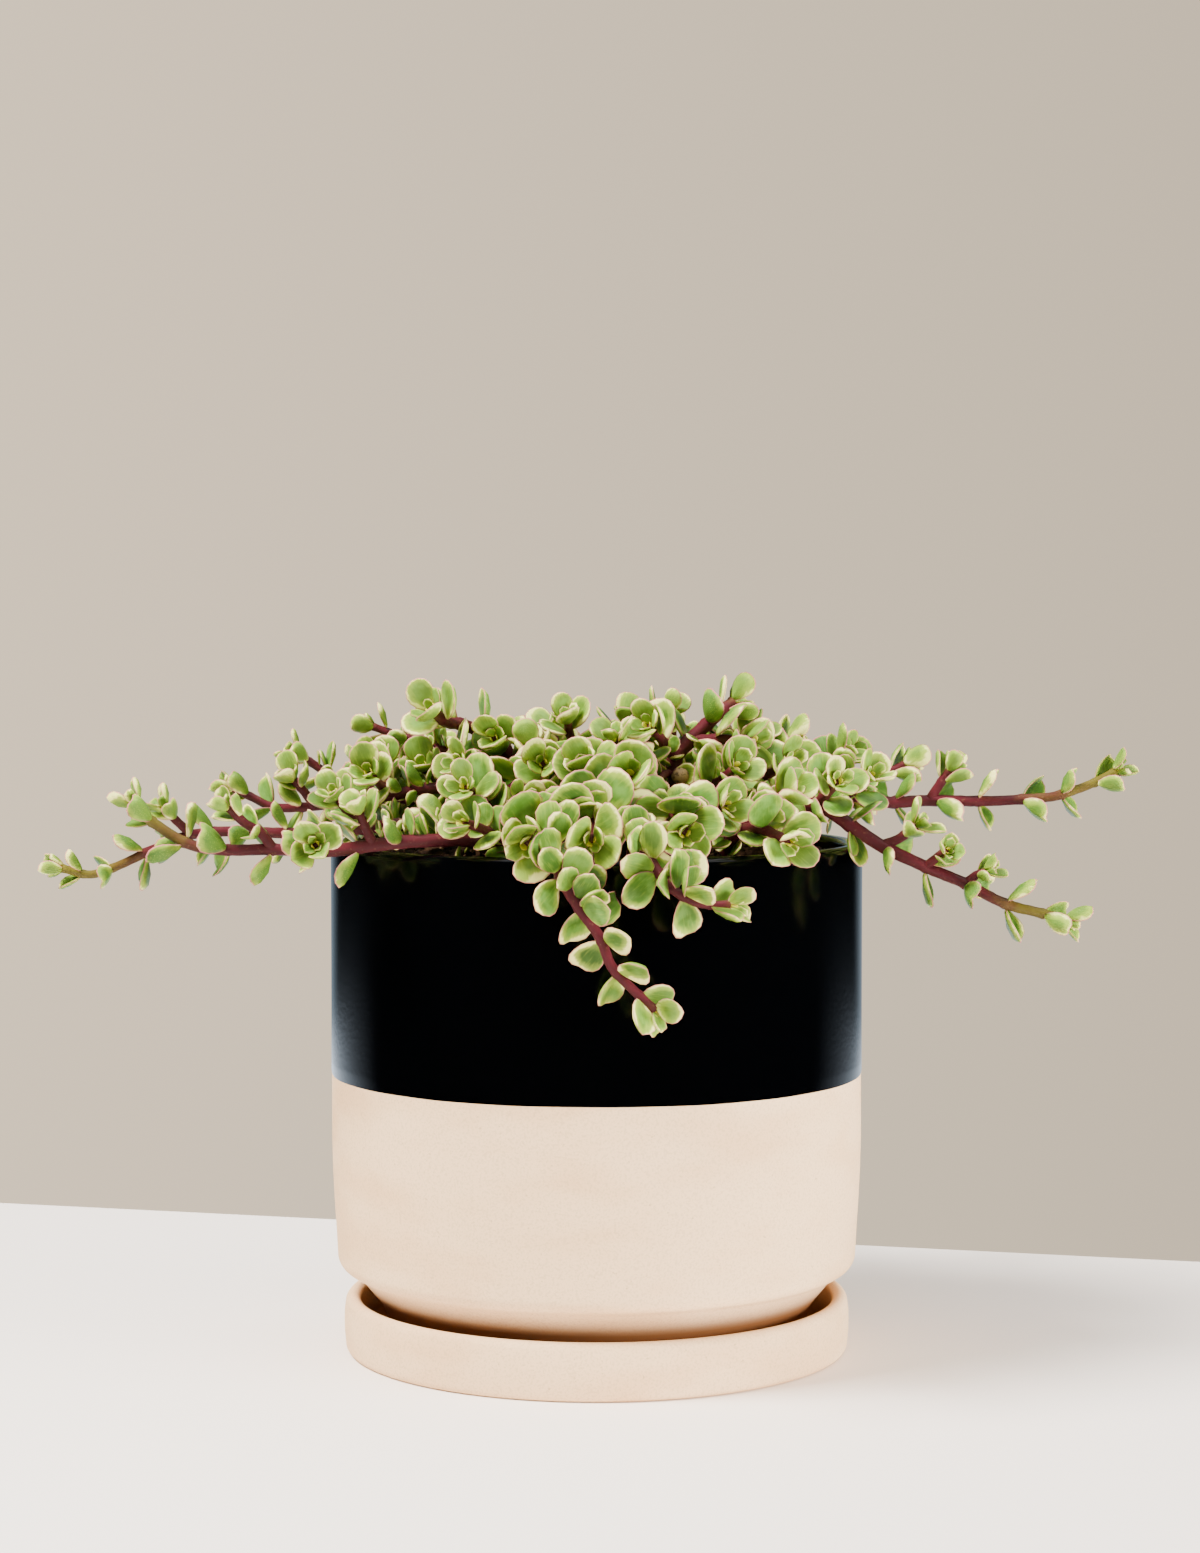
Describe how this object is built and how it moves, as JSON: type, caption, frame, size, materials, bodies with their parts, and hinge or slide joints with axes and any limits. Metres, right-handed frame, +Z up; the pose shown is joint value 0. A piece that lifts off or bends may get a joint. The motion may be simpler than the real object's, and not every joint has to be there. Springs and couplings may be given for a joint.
{
  "type": "potted succulent plant",
  "caption": "Trailing succulent with small rounded cream-edged leaves on red stems, in a round black-glazed pot with a bare clay base, standing in a shallow clay saucer.",
  "frame": {"origin": "on the pot's axis, at the underside of the saucer", "axes": "+Z up, -Y towards the front of the plant, +X to its right as seen from the front"},
  "size_m": [0.336, 0.2414, 0.2109],
  "materials": {
    "clay": "matt unglazed, pinkish beige",
    "glaze": "glossy black glaze over a bare clay base",
    "soil": "dark potting mix, rough",
    "foliage": "smooth fleshy leaves, green with cream edges, on red stems"
  },
  "bodies": {
    "root": {"saucer": "clay", "pot": "glaze", "soil": "soil", "stem_left_low": "foliage", "stem_left_trailing": "foliage", "stem_left_middle": "foliage", "stem_left_upper": "foliage", "stem_left_high": "foliage", "stem_left_arch": "foliage", "stem_rim_left": "foliage", "stem_left_front": "foliage", "stem_front_left": "foliage", "stem_front_cascade": "foliage", "stem_front_rosette": "foliage", "stem_front_second": "foliage", "stem_front_right": "foliage", "stem_right_rosette": "foliage", "stem_right_low": "foliage", "stem_right_high": "foliage", "stem_trunk": "foliage", "stem_centre_left": "foliage", "stem_centre_front": "foliage", "stem_centre_top": "foliage", "stem_centre_right": "foliage", "stem_right_side": "foliage", "stem_back_left": "foliage", "stem_back_middle": "foliage", "stem_back_right": "foliage", "stem_back_trailing_left": "foliage", "stem_back_trailing_right": "foliage", "stem_back_cascade": "foliage"}
  },
  "joints": []
}
